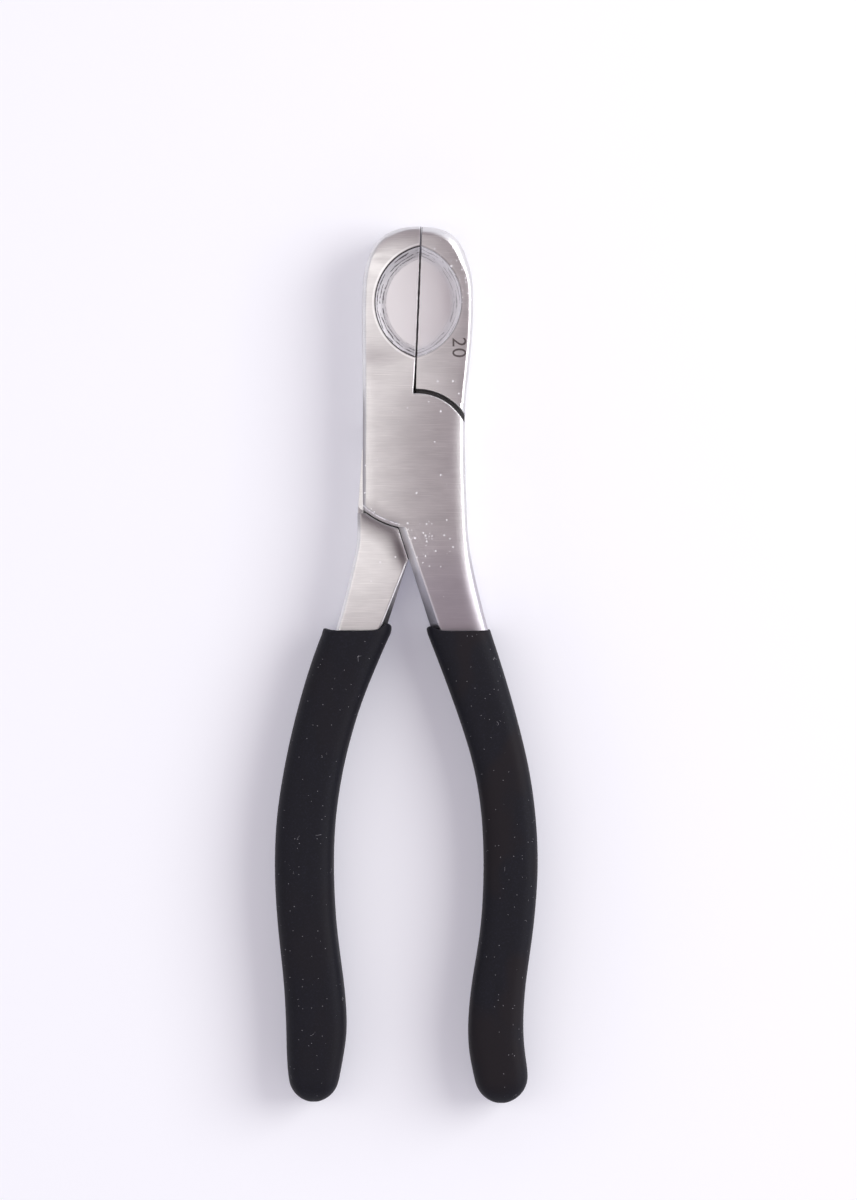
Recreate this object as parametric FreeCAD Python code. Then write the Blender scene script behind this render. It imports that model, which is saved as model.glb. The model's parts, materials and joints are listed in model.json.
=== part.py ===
import FreeCAD, Part
import math
import os

# Decapper pliers, closed and lying flat: jaws towards +Y, the 20 mm pocket facing up.
# All sizes are millimetres. While the pieces are made, the pivot is at X = Y = 0
# and the back face is at Z = 0. The last step moves them to the reference point.

# Thickness of the steel, and the lap joint that halves it.
THICK = 12.0
LAP_GAP = 0.1
LAP_PLANE = THICK / 2

# Lap arcs, all about the pivot. The plate of each half turns inside the arcs of the other.
PLATE_TOP_R = 9.8
JAW_STEP_GAP = 0.85
JAW_STEP_R = PLATE_TOP_R + JAW_STEP_GAP
PLATE_FOOT_R = 14.9
SHOULDER_GAP = 0.2
SHOULDER_R = PLATE_FOOT_R + SHOULDER_GAP
SHOULDER_TOP_Y = -12.0
SHOULDER_BREAK = 0.2

# The line where the jaws meet leans to the right. Below the pocket it opens as a relief.
POCKET_UP = 26.5
SEAM_X = 0.33
SEAM_LEAN = 2.3
SEAM_GAP = 0.12
RELIEF_WIDTH = 0.55
EDGE_BREAK = 0.14

# Pockets: each jaw carries an arc whose centre lies past the seam.
CAP_20_R = 10.4
CAP_20_OFFSET = 2.6
CAP_20_DEPTH = 5.0
CAP_20_FLOOR_ROUND = 1.4
CAP_13_R = 6.8
CAP_13_OFFSET = 1.8
CAP_13_DEPTH = 4.8
CAP_13_FLOOR_ROUND = 0.6
WEB_GAP = 0.3
WEB_GAP_MARGIN = 1.2

# Outer edges of the halves, seen from the front, as points from the tip downwards.
TIP = (0.88, 40.15)
LEFT_JAW_EDGE = [(-1.6, 40.05), (-4.1, 39.45), (-6.5, 38.0), (-8.4, 35.3), (-9.45, 32.0),
                 (-9.85, 27.5), (-9.9, 21.0), (-9.75, 10.0), (-9.8, 0.0)]
RIGHT_JAW_EDGE = [(3.2, 40.0), (5.4, 39.35), (7.3, 37.9), (8.95, 34.9), (10.0, 31.2),
                  (10.3, 27.0), (10.15, 21.0), (9.5, 14.0), (8.9, 8.0), (8.8, 0.0)]
FRONT_PLATE_LEFT = -9.75
BACK_PLATE_RIGHT = 9.05
RIGHT_SHANK_EDGE = [(8.85, -4.0), (9.05, -10.0), (9.45, -17.0), (10.55, -23.3), (11.85, -28.7)]
LEFT_SHANK_EDGE = [(-9.9, 2.0), (-10.35, -6.0), (-10.75, -13.0), (-10.8, -17.0),
                   (-11.55, -21.0), (-13.1, -27.5)]
LEFT_JAW_ROUND = (0.75, 0.7)
RIGHT_JAW_ROUND = (1.6, 0.6)

# Shanks: inner sides run from the crotch at one slope, outer sides end at the sleeves.
CROTCH = (-1.45, -20.2)
CROTCH_SLOPE = 0.321
CROTCH_GAP = 0.15
RIGHT_SHANK_FOOT = 14.0
LEFT_SHANK_FOOT = -15.9
SHANK_FOOT_Y = -37.0
SHANK_TAPER_LEAD = 0.9
SHANK_TAPER_START = SHANK_TAPER_LEAD - PLATE_FOOT_R
SHANK_TAPER_R = 150.0
SHANK_ROUND = 0.75

# Flat bevels along the shanks' inner edges: width at the upper and the lower end, and slope.
# One is on a half's plate side, and one on its other face, from the crotch down. The plate's
# foot arc has a flat bevel too: its width and depth.
PLATE_SIDE_BEVEL = (1.05, 1.7)
PLATE_SIDE_SLOPE = 43.0
CROTCH_SIDE_BEVEL = (0.0, 1.5)
CROTCH_SIDE_SLOPE = 52.0
PLATE_FOOT_BEVEL = (0.65, 0.22)

# Sleeves: rows of (y, x of the left side, x of the right side), then the centre and radius
# of the round end.
SLEEVE_THICK = 12.0
SLEEVE_ROUND = 3.4
SLEEVE_SIDE_WALL = 1.9
TANG_THICK = 7.0
TANG_STEP = 0.8
TANG_END_ROUND = 3.0
RIGHT_SLEEVE_ROWS = [(-33.3, 1.7, 13.45), (-46.5, 6.75, 17.6), (-60.0, 10.95, 20.9),
                     (-75.0, 12.3, 22.3), (-88.0, 11.7, 21.4), (-99.0, 9.85, 19.8),
                     (-106.0, 9.25, 19.4), (-111.0, 9.6, 19.85)]
RIGHT_SLEEVE_END = (15.45, -114.6, 5.05)
LEFT_SLEEVE_ROWS = [(-33.3, -17.05, -4.5), (-46.5, -21.5, -10.1), (-60.0, -24.55, -13.7),
                    (-75.0, -26.0, -15.2), (-88.0, -25.35, -14.6), (-99.0, -24.15, -13.1),
                    (-106.0, -23.85, -12.55), (-111.0, -23.8, -13.3)]
LEFT_SLEEVE_END = (-18.75, -114.65, 4.75)

# The pivot rivet is ground flush with both faces.
RIVET_R = 3.0
RIVET_HEAD_R = 4.0
RIVET_HEAD_DEPTH = 1.0
RIVET_CLEARANCE = 0.05

# Trimming tools reach past every outer edge, and pass through each face.
REACH = 60.0
PAST = 1.0


def vec(x, y, z=0.0):
    return FreeCAD.Vector(x, y, z)


def line(a, b):
    return Part.LineSegment(vec(*a), vec(*b)).toShape()


def spline(points, **tangents):
    curve = Part.BSplineCurve()
    curve.interpolate(Points=[vec(*point) for point in points], **tangents)
    return curve.toShape()


def pivot_arc(radius, start, end):
    """Arc about the pivot, the short way round from start to end."""
    middle = vec((start[0] + end[0]) / 2, (start[1] + end[1]) / 2)
    middle.multiply(radius / middle.Length)
    return Part.Arc(vec(*start), middle, vec(*end)).toShape()


def prism(edges, low, high):
    face = Part.Face(Part.Wire(edges))
    face.translate(vec(0, 0, low))
    return face.extrude(vec(0, 0, high - low))


def block(points, low, high):
    corners = [vec(*point) for point in points]
    return prism(Part.makePolygon(corners + corners[:1]).Edges, low, high)


def disc(radius, low, high):
    return Part.makeCylinder(radius, high - low, vec(0, 0, low))


def seam_point(y, aside=0.0):
    """Point of the seam at a height, moved to the right by aside."""
    return (SEAM_X + math.tan(math.radians(SEAM_LEAN)) * (y - POCKET_UP) + aside, y)


def crotch_x(y, side):
    """Inner side of the right (side = 1) or left (side = -1) shank."""
    return CROTCH[0] + side * CROTCH_SLOPE * (CROTCH[1] - y)


def crotch_corner(radius, side):
    """Where the line of a shank's inner side meets an arc about the pivot."""
    slope = -side * CROTCH_SLOPE
    base = CROTCH[0] - slope * CROTCH[1]
    a = slope ** 2 + 1
    b = 2 * slope * base
    c = base ** 2 - radius ** 2
    y = (-b - math.sqrt(b ** 2 - 4 * a * c)) / (2 * a)
    return (base + slope * y, y)


def cusp_y(side):
    """Upper (side = 1) or lower end of the 20 mm pocket along the seam."""
    half = math.sqrt(CAP_20_R ** 2 - CAP_20_OFFSET ** 2)
    return POCKET_UP + side * half * math.cos(math.radians(SEAM_LEAN))


def jaw_edge(side):
    """Meeting edge of the left (side = -1) or right (side = 1) jaw: tip, pocket, relief foot."""
    gap = side * SEAM_GAP / 2
    return [seam_point(TIP[1] + 1, gap), seam_point(cusp_y(-1), gap),
            seam_point(PLATE_TOP_R, side * RELIEF_WIDTH / 2)]


def taper_cuts():
    """Two large drums that thin the shanks smoothly from the lap joint towards the sleeves."""
    cuts = []
    for face, up in ((THICK, 1), (0.0, -1)):
        drum = Part.makeCylinder(SHANK_TAPER_R, 2 * REACH,
                                 vec(-REACH, SHANK_TAPER_START, face - up * SHANK_TAPER_R), vec(1, 0, 0))
        low, high = sorted((face - up * LAP_PLANE, face + up * PAST))
        slab = block([(-REACH, SHANK_TAPER_START), (REACH, SHANK_TAPER_START),
                      (REACH, SHANK_FOOT_Y - PAST), (-REACH, SHANK_FOOT_Y - PAST)], low, high)
        cuts.append(slab.cut(drum))
    return cuts


def foot_corner(x):
    """Where an outer edge meets the foot arc of its plate."""
    return (x, -math.sqrt(PLATE_FOOT_R ** 2 - x ** 2))


def front_outline():
    """Outer and inner edges of the left jaw, front plate and right shank, and the closing edges."""
    corner, notch = foot_corner(FRONT_PLATE_LEFT), crotch_corner(PLATE_FOOT_R, 1)
    inner_foot = (crotch_x(SHANK_FOOT_Y, 1), SHANK_FOOT_Y)
    outer_foot = (RIGHT_SHANK_FOOT, SHANK_FOOT_Y)
    side_top = RIGHT_JAW_EDGE[-1]
    above = (side_top[0], PLATE_TOP_R)
    start = seam_point(TIP[1], EDGE_BREAK)
    jaw = spline([start] + LEFT_JAW_EDGE + [corner])
    shank = spline([outer_foot] + RIGHT_SHANK_EDGE[::-1] + [side_top])
    inner = line(notch, inner_foot)
    closing = [pivot_arc(PLATE_FOOT_R, corner, notch), line(inner_foot, outer_foot),
               line(side_top, above), line(above, start)]
    return jaw, shank, inner, closing


def back_outline():
    """Outer and inner edges of the right jaw, back plate and left shank, and the closing edges."""
    corner, notch = foot_corner(BACK_PLATE_RIGHT), crotch_corner(PLATE_FOOT_R, -1)
    inner_foot = (crotch_x(SHANK_FOOT_Y, -1), SHANK_FOOT_Y)
    outer_foot = (LEFT_SHANK_FOOT, SHANK_FOOT_Y)
    side_top = LEFT_SHANK_EDGE[0]
    above = (side_top[0], PLATE_TOP_R)
    start = seam_point(TIP[1], -EDGE_BREAK)
    jaw = spline([start] + RIGHT_JAW_EDGE + [corner])
    shank = spline([outer_foot] + LEFT_SHANK_EDGE[::-1])
    inner = line(notch, inner_foot)
    closing = [pivot_arc(PLATE_FOOT_R, corner, notch), line(inner_foot, outer_foot),
               line(side_top, above), line(above, start)]
    return jaw, shank, inner, closing


def on_outline(edge, outline_edge):
    """True for an edge of a solid that lies above or below an edge of its flat outline."""
    first, last = edge.Vertexes[0].Point, edge.Vertexes[-1].Point
    if math.hypot(first.x - last.x, first.y - last.y) < EDGE_BREAK:
        return False
    middle = edge.valueAt((edge.FirstParameter + edge.LastParameter) / 2)
    return Part.Vertex(middle.x, middle.y, 0).distToShape(outline_edge)[0] < SEAM_GAP / 4


def round_along(solid, outline_edge, upper_round, lower_round):
    """Round both faces' edges along one outline edge, from its upper to its lower end."""
    for front in (True, False):
        edge = next(edge for edge in solid.Edges if on_outline(edge, outline_edge)
                    and (edge.CenterOfMass.z > LAP_PLANE) == front)
        falls = edge.Vertexes[0].Y > edge.Vertexes[-1].Y
        radii = (upper_round, lower_round) if falls else (lower_round, upper_round)
        solid = solid.makeFillet(*radii, [edge])
    return solid


def taper_drop(y):
    """How far the taper has lowered a shank's face at a height."""
    along = max(0.0, SHANK_TAPER_START - y)
    return SHANK_TAPER_R - math.sqrt(SHANK_TAPER_R ** 2 - along ** 2)


def inner_bevel(side, top_y, widths, degrees):
    """What bevels the inner edge of the right (side = 1) or left shank at the front face."""
    slope = math.radians(degrees)
    slant = vec(side * math.cos(slope), 0, math.sin(slope))
    sections = []
    for share in (0.0, 0.5, 1.0):
        y = top_y + share * (SHANK_FOOT_Y - PAST - top_y)
        width = widths[0] + share * (widths[1] - widths[0])
        on_face = vec(crotch_x(y, side) + side * width, y, THICK - taper_drop(y))
        upper = on_face + slant * PAST
        lower = on_face - slant * (width / math.cos(slope) + PAST)
        sections.append(Part.makePolygon([upper, lower, vec(lower.x, y, upper.z), upper]))
    return Part.makeLoft(sections, True, False)


def foot_bevel(side):
    """What bevels the foot arc of a plate at the front face, beside the other shank."""
    width, depth = PLATE_FOOT_BEVEL
    cone = Part.makeCone(PLATE_FOOT_R, PLATE_FOOT_R - width, depth, vec(0, 0, THICK - depth))
    far = -side * REACH
    beside = block([(crotch_x(0.0, side), 0.0), (crotch_x(-REACH, side), -REACH),
                    (far, -REACH), (far, 0.0)], THICK - depth, THICK)
    return disc(PLATE_FOOT_R + PAST, THICK - depth, THICK).cut(cone).common(beside)


def shank_bevels(side):
    """Bevels of a half whose plate is at the front face: plate side, then crotch side."""
    plate_side = inner_bevel(side, crotch_corner(PLATE_FOOT_R, side)[1], PLATE_SIDE_BEVEL, PLATE_SIDE_SLOPE)
    crotch_side = inner_bevel(side, CROTCH[1], CROTCH_SIDE_BEVEL, CROTCH_SIDE_SLOPE)
    return [plate_side, foot_bevel(side), turned_over(crotch_side)]


def forging(outline, jaw_round):
    """A half before it is trimmed: full thickness, with its outer edges rounded."""
    jaw, shank, inner, closing = outline
    solid = prism(Part.sortEdges([jaw, shank, inner] + closing)[0], 0.0, THICK)
    for cut in taper_cuts():
        solid = solid.cut(cut)
    solid = round_along(solid, jaw, *jaw_round)
    return round_along(solid, shank, SHANK_ROUND, SHANK_ROUND)


def beyond_seam(hand, low, high):
    """The other jaw's side of the seam, from the tip down to the pivot's height."""
    edge = jaw_edge(-hand)
    far = hand * REACH
    return block(edge + [(edge[-1][0], 0.0), (far, 0.0), (far, edge[0][1])], low, high)


def beyond_crotch(hand, low, high):
    """The other shank's side of the crotch, from the pivot's height down to where they part."""
    gap = hand * CROTCH_GAP
    foot = CROTCH[1] - CROTCH_GAP / (2 * CROTCH_SLOPE)
    far = -hand * REACH
    return block([(crotch_x(0.0, -hand) + gap, 0.0), (crotch_x(foot, -hand) + gap, foot),
                  (far, foot), (far, 0.0)], low, high)


def below_pivot(shape):
    lower_side = Part.makeBox(2 * REACH, REACH, 2 * REACH, vec(-REACH, -REACH, -REACH))
    return shape.common(lower_side)


def broken_edge(start, end, height):
    """Square bar on its corner, which breaks a straight edge at the height of a face."""
    along = vec(*end) - vec(*start)
    across = vec(-along.y, along.x).normalize() * EDGE_BREAK
    up = vec(0, 0, EDGE_BREAK)
    centre = vec(start[0], start[1], height)
    corners = [centre + across, centre + up, centre - across, centre - up]
    return Part.Face(Part.makePolygon(corners + corners[:1])).extrude(along)


def lap_tools(hand):
    """What is cut from a forging whose plate is the upper layer (hand = 1 for the front half)."""
    layer_top = LAP_PLANE + LAP_GAP / 2
    plate_disc = disc(PLATE_TOP_R, -PAST, THICK + PAST)
    tools = [beyond_seam(hand, -PAST, THICK + PAST).cut(plate_disc),
             disc(JAW_STEP_R, -PAST, layer_top),
             below_pivot(disc(SHOULDER_R, -PAST, layer_top)),
             block([(-REACH, 0.0), (-REACH, SHOULDER_TOP_Y), (REACH, SHOULDER_TOP_Y), (REACH, 0.0)],
                   -PAST, layer_top),
             beyond_crotch(hand, -PAST, layer_top)]
    plate_bevel = disc(PLATE_TOP_R + PAST, THICK - EDGE_BREAK, THICK).cut(
        Part.makeCone(PLATE_TOP_R, PLATE_TOP_R - EDGE_BREAK, EDGE_BREAK, vec(0, 0, THICK - EDGE_BREAK)))
    tools.append(plate_bevel.common(beyond_seam(hand, 0.0, THICK + PAST)))
    tools.append(Part.makeCone(JAW_STEP_R + EDGE_BREAK, JAW_STEP_R, EDGE_BREAK))
    tools.append(below_pivot(Part.makeCone(SHOULDER_R + SHOULDER_BREAK, SHOULDER_R, SHOULDER_BREAK)))
    tip, cusp, foot = jaw_edge(-hand)
    for height in (0.0, THICK):
        tools += [broken_edge(tip, cusp, height), broken_edge(cusp, foot, height)]
    return tools


def pocket(radius, offset, depth, floor_round, jaw):
    """Turned recess of one jaw in the upper face, with a rounded floor and a broken rim."""
    lean = math.radians(SEAM_LEAN)
    middle = seam_point(POCKET_UP)
    centre = vec(middle[0] - jaw * offset * math.cos(lean), middle[1] + jaw * offset * math.sin(lean))
    floor = THICK - depth
    bend = floor_round * (1 - math.sqrt(0.5))
    edges = [line((0, 0, floor), (radius - floor_round, 0, floor)),
             Part.Arc(vec(radius - floor_round, 0, floor), vec(radius - bend, 0, floor + bend),
                      vec(radius, 0, floor + floor_round)).toShape(),
             line((radius, 0, floor + floor_round), (radius, 0, THICK - EDGE_BREAK)),
             line((radius, 0, THICK - EDGE_BREAK), (radius + EDGE_BREAK, 0, THICK)),
             line((radius + EDGE_BREAK, 0, THICK), (radius + EDGE_BREAK, 0, THICK + PAST)),
             line((radius + EDGE_BREAK, 0, THICK + PAST), (0, 0, THICK + PAST)),
             line((0, 0, THICK + PAST), (0, 0, floor))]
    tool = Part.Face(Part.Wire(edges)).revolve(vec(0, 0, 0), vec(0, 0, 1), 360)
    tool.translate(centre)
    return tool


def turned_over(shape):
    return shape.mirror(vec(0, 0, LAP_PLANE), vec(0, 0, 1))


def web_slot():
    """The wider gap between the two halves of the pockets' common floor."""
    top, foot = cusp_y(1) - WEB_GAP_MARGIN, cusp_y(-1) + WEB_GAP_MARGIN
    gap = WEB_GAP / 2
    return block([seam_point(top, -gap), seam_point(top, gap), seam_point(foot, gap),
                  seam_point(foot, -gap)], CAP_13_DEPTH / 2, THICK - CAP_20_DEPTH + PAST)


def tang(foot_left, foot_right, rows):
    """The part of a handle inside its sleeve."""
    foot = (SHANK_FOOT_Y + TANG_STEP, foot_left + TANG_STEP, foot_right - TANG_STEP)
    inside = [foot] + [(y, left + SLEEVE_SIDE_WALL, right - SLEEVE_SIDE_WALL)
                       for y, left, right in rows[1:]]
    left_side = [(left, y) for y, left, right in inside]
    right_side = [(right, y) for y, left, right in inside]
    end = ((left_side[-1][0] + right_side[-1][0]) / 2, rows[-1][0] - TANG_END_ROUND)
    end_arc = Part.Arc(vec(*left_side[-1]), vec(*end), vec(*right_side[-1])).toShape()
    edges = [spline(left_side), end_arc, spline(right_side[::-1]), line(right_side[0], left_side[0])]
    return prism(edges, LAP_PLANE - TANG_THICK / 2, LAP_PLANE + TANG_THICK / 2)


def rivet_shape(clearance):
    """Rivet shank with a countersunk head at each face, or its hole with a clearance."""
    shank = disc(RIVET_R + clearance, 0.0, THICK)
    heads = [Part.makeCone(RIVET_HEAD_R + clearance, RIVET_R + clearance, RIVET_HEAD_DEPTH),
             Part.makeCone(RIVET_R + clearance, RIVET_HEAD_R + clearance, RIVET_HEAD_DEPTH,
                           vec(0, 0, THICK - RIVET_HEAD_DEPTH))]
    return shank.fuse(heads)


def pocket_tools(jaw):
    return [pocket(CAP_20_R, CAP_20_OFFSET, CAP_20_DEPTH, CAP_20_FLOOR_ROUND, jaw),
            turned_over(pocket(CAP_13_R, CAP_13_OFFSET, CAP_13_DEPTH, CAP_13_FLOOR_ROUND, jaw)),
            web_slot()]


def make_front_half():
    solid = forging(front_outline(), LEFT_JAW_ROUND)
    solid = solid.cut(lap_tools(1) + shank_bevels(1) + pocket_tools(-1) + [rivet_shape(0.0)])
    return solid.fuse(tang(crotch_x(SHANK_FOOT_Y, 1), RIGHT_SHANK_FOOT, RIGHT_SLEEVE_ROWS))


def make_back_half():
    solid = forging(back_outline(), RIGHT_JAW_ROUND)
    lap = [turned_over(tool) for tool in lap_tools(-1) + shank_bevels(-1)]
    solid = solid.cut(lap + pocket_tools(1) + [rivet_shape(RIVET_CLEARANCE)])
    return solid.fuse(tang(LEFT_SHANK_FOOT, crotch_x(SHANK_FOOT_Y, -1), LEFT_SLEEVE_ROWS))


def sleeve_side(points):
    """One side of a sleeve from the lip down, straight at the lip and along Y at the round end."""
    (x0, y0), (x1, y1) = points[:2]
    return spline(points, InitialTangent=vec(x1 - x0, y1 - y0), FinalTangent=vec(0, -1))


def make_sleeve(rows, end, half):
    """Dipped sleeve round one handle, open at the lip and closed at the end."""
    x, y, radius = end
    left_side = [(left, row_y) for row_y, left, right in rows] + [(x - radius, y)]
    right_side = [(right, row_y) for row_y, left, right in rows] + [(x + radius, y)]
    end_arc = Part.Arc(vec(x - radius, y), vec(x, y - radius), vec(x + radius, y)).toShape()
    outline = [sleeve_side(left_side), end_arc, sleeve_side(right_side)]
    low = LAP_PLANE - SLEEVE_THICK / 2
    solid = prism(outline + [line(right_side[0], left_side[0])], low, low + SLEEVE_THICK)
    edges = [edge for edge in solid.Edges if any(on_outline(edge, part) for part in outline)]
    return solid.makeFillet(SLEEVE_ROUND, edges).cut(half)


def only_solid(shape):
    """The one solid in a result, so that a stray piece stops the build."""
    if len(shape.Solids) != 1:
        raise ValueError("a piece came out as %d solids" % len(shape.Solids))
    return shape.Solids[0]


def make_pieces():
    front_half = only_solid(make_front_half())
    back_half = only_solid(make_back_half())
    return {
        "front_half": front_half,
        "back_half": back_half,
        "pivot_rivet": only_solid(rivet_shape(0.0)),
        "grip_right": only_solid(make_sleeve(RIGHT_SLEEVE_ROWS, RIGHT_SLEEVE_END, front_half)),
        "grip_left": only_solid(make_sleeve(LEFT_SLEEVE_ROWS, LEFT_SLEEVE_END, back_half)),
    }


def reference_shift(pieces):
    """From the pivot's frame to the centre of the outer box, on the surface it rests on."""
    box = FreeCAD.BoundBox()
    for solid in pieces.values():
        box.add(solid.optimalBoundingBox())
    return vec(-box.Center.x, -box.Center.y, -box.ZMin)


pieces = make_pieces()
shift = reference_shift(pieces)
print("pivot at %.3f, %.3f" % (shift.x, shift.y))
os.makedirs("parts", exist_ok=True)
for name, solid in pieces.items():
    solid.translate(shift)
    solid.exportStep("parts/" + name + ".step")
    box = solid.optimalBoundingBox()
    print(name, solid.isValid(), round(solid.Volume, 2), "size %.2f %.2f %.2f"
          % (box.XLength, box.YLength, box.ZLength))
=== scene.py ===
import json
import math

import bmesh
import bpy
from bpy.props import FloatProperty, FloatVectorProperty, PointerProperty
from mathutils import Matrix, Vector, noise


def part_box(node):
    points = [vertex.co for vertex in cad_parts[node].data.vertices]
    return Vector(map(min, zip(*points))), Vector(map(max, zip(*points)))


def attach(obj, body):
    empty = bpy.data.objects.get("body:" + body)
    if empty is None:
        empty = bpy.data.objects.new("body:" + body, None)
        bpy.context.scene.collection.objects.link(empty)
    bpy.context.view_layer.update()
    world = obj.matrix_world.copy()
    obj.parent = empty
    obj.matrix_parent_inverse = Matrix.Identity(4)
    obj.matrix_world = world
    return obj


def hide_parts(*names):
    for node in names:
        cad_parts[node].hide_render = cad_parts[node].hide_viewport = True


bl_info = {
    "name": "Decapper Pliers",
    "version": (1, 0, 0),
    "blender": (4, 5, 0),
    "location": "3D View > Sidebar > Pliers",
    "description": "Dresses the lap-jointed decapper pliers and sets them on a pale table",
    "category": "Object",
}

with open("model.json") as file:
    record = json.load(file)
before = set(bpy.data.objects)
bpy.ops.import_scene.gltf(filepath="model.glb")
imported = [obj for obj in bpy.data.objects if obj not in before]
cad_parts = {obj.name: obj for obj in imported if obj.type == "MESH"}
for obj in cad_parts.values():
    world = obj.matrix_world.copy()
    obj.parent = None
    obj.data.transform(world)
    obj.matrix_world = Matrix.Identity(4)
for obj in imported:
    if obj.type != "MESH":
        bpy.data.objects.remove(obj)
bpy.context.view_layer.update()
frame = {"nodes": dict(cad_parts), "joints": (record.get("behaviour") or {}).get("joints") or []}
MM = 0.001

# Every place below is in millimetres from the pivot, as in the part, with z up from the table.
PIVOT = Vector(frame["joints"][0]["pos_m"])
FACE_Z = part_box("front_half")[1].z / MM

# The seam between the jaws leans about the pockets' middle, and ends below at the lap's arc.
SEAM_X = 0.33
SEAM_LEAN = math.radians(2.3)
SEAM_FOOT_Y = 10.6
POCKET_UP = 26.5
POCKET_20 = {"radius": 10.4, "offset": 2.6, "depth": 5.0, "floor_round": 1.4}
POCKET_13 = {"radius": 6.8, "offset": 1.8, "depth": 4.8, "floor_round": 0.6}

# How strongly the larger pocket's marks and painted light show on the front half (-1) and on the back half
# (1): the corner grey and the rim are painted shade, the groove real turning marks, and the last a painted
# highlight just outside the rim.
POCKET_MARKS_AND_LIGHT = {
    -1: {"corner": 0.4, "groove": 0.9, "rim": 0.95, "painted_rim_highlight": 0.8},
    1: {"corner": 0.05, "groove": 0.3, "rim": 0.3, "painted_rim_highlight": 0.2},
}

# The steel's outline beside the faces: the head's middle and half height, the left side, and
# the right side's distance from the middle at a few heights.
HEAD_MIDDLE = (0.2, 27.5)
HEAD_HALF_HEIGHT = 12.65
LEFT_SIDE = 10.1
RIGHT_SIDE = [
    (-34.0, 13.2), (-28.7, 11.65), (-23.3, 10.35), (-17.0, 9.25), (-10.0, 8.85), (-4.0, 8.65),
    (0.0, 8.6), (8.0, 8.7), (14.0, 9.3), (21.0, 9.95), (27.5, 10.1)]

# Where the shanks part, the arcs of the shoulder and of the plate's foot, and the upper edges
# of the shanks' inner bevels. The foot shows below FOOT_TOP_Y.
CROTCH = (-1.45, -20.2)
CROTCH_SLOPE = 0.321
SHOULDER_R = 15.1
FOOT_BEVEL_R = 14.25
FOOT_TOP_Y = -9.0
RIGHT_BEVEL_TOP = (-2.21, -14.55)
RIGHT_BEVEL_SLOPE = 0.349
LEFT_BEVEL_SLOPE = 0.405

# How far left of the pivot the front half's face is highest, at a few heights. A curve holds
# no number below nought, so LEFT_CROWN_LIFT is added to each.
LEFT_CROWN_LIFT = 10.0
LEFT_CROWN = [
    (-40.0, 19.9), (-10.0, 20.2), (4.0, 19.3), (14.0, 11.5), (23.0, 2.5), (31.0, 2.5),
    (35.5, 12.5), (40.0, 15.5)]

# Edges are sharp within RIVET_BLEND_R of the pivot, so the ground rivet doesn't show.
RIVET_BLEND_R = 5.0
# The lap's inner faces, painted dark as shade, lie this near the middle of the thickness, right of
# LAP_LEFT_X.
LAP_HALF_GAP = 0.6
LAP_LEFT_X = -9.75

# Where most of the dust lies on the front half (-1) and on the back half (1).
DUSTY = {-1: (1.8, -17.5), 1: (7.0, 31.0)}
# Strength of the pale dust and of the painted highlights that share its colour.
DUST_AND_HIGHLIGHT_STRENGTH = 0.85

SCRATCH_COLOUR = (0.95, 0.94, 0.93, 1.0)
# Painted shade: grey over the larger pocket's rounded corner, dimming its reflection.
CORNER_PAINTED_SHADE_COLOUR = (0.42, 0.40, 0.41, 1.0)
GROOVE_COLOUR = (0.14, 0.13, 0.14, 1.0)
# Painted shade in the corners beside the other half and along the front half's left side.
PAINTED_SHADE_COLOUR = (0.22, 0.20, 0.21, 1.0)
# Painted shade and lilac reflection on the lower right shank.
SHANK_PAINTED_SHADE_COLOUR = (0.52, 0.48, 0.56, 1.0)
# Painted highlight just outside the larger pocket's rim and beside the seam.
PAINTED_HIGHLIGHT_COLOUR = (1.0, 1.0, 1.0, 1.0)
# Painted shade in the seam and on the wall just under the larger pocket's rim.
SEAM_AND_RIM_PAINTED_SHADE = (0.035, 0.03, 0.035, 1.0)
# Painted shade on the lower part of the right shank's inner bevel.
BEVEL_PAINTED_SHADE_COLOUR = (0.20, 0.19, 0.23, 1.0)
# Pale dust specks, and also painted highlights along the plate's foot and on the right shank's inner
# bevel.
DUST_AND_HIGHLIGHT_COLOUR = (0.88, 0.87, 0.89, 1.0)
VINYL_DUST_COLOUR = (0.45, 0.44, 0.47, 1.0)
VINYL_WARMTH = (1.9, 1.35, 1.0)

# Sleeve outlines: rows of (y, x of the left side, x of the right side), then the middle and
# radius of the round end. The lump is the height of the lip at the inner corner.
SLEEVES = {
    "sleeve_right": {
        "node": "grip_right", "body": "front_side", "side": 1, "lump": 0.8,
        "rows": [
            (-33.45, 1.75, 13.5), (-33.9, 1.95, 13.65), (-35.2, 2.45, 14.1), (-40.0, 4.35, 15.65),
            (-46.5, 6.75, 17.6), (-53.5, 9.15, 19.45), (-60.0, 10.95, 20.9), (-67.5, 12.0, 21.9),
            (-75.0, 12.3, 22.3), (-81.5, 12.15, 22.0), (-88.0, 11.7, 21.4), (-93.5, 10.8, 20.6),
            (-99.0, 9.85, 19.8), (-106.0, 9.25, 19.4), (-111.0, 9.6, 19.85), (-114.6, 10.4, 20.5)],
        "end": (15.45, -114.6, 5.05),
    },
    "sleeve_left": {
        "node": "grip_left", "body": "back_side", "side": -1, "lump": 1.3,
        "rows": [
            (-33.4, -17.15, -4.45), (-33.9, -17.3, -4.65), (-35.2, -17.85, -5.35),
            (-40.0, -19.55, -7.4), (-46.5, -21.5, -10.1), (-53.5, -23.25, -12.2),
            (-60.0, -24.55, -13.7), (-67.5, -25.7, -14.85), (-75.0, -26.0, -15.2),
            (-81.5, -25.85, -15.05), (-88.0, -25.35, -14.6), (-93.5, -24.7, -13.85),
            (-99.0, -24.15, -13.1), (-106.0, -23.85, -12.55), (-111.0, -23.8, -13.3),
            (-114.65, -23.5, -14.0)],
        "end": (-18.75, -114.65, 4.75),
    },
}
SLEEVE_SIDES = 32
SLEEVE_SQUARENESS = 4.2
END_TURNS = (22, 42, 60, 74, 84)
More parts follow.
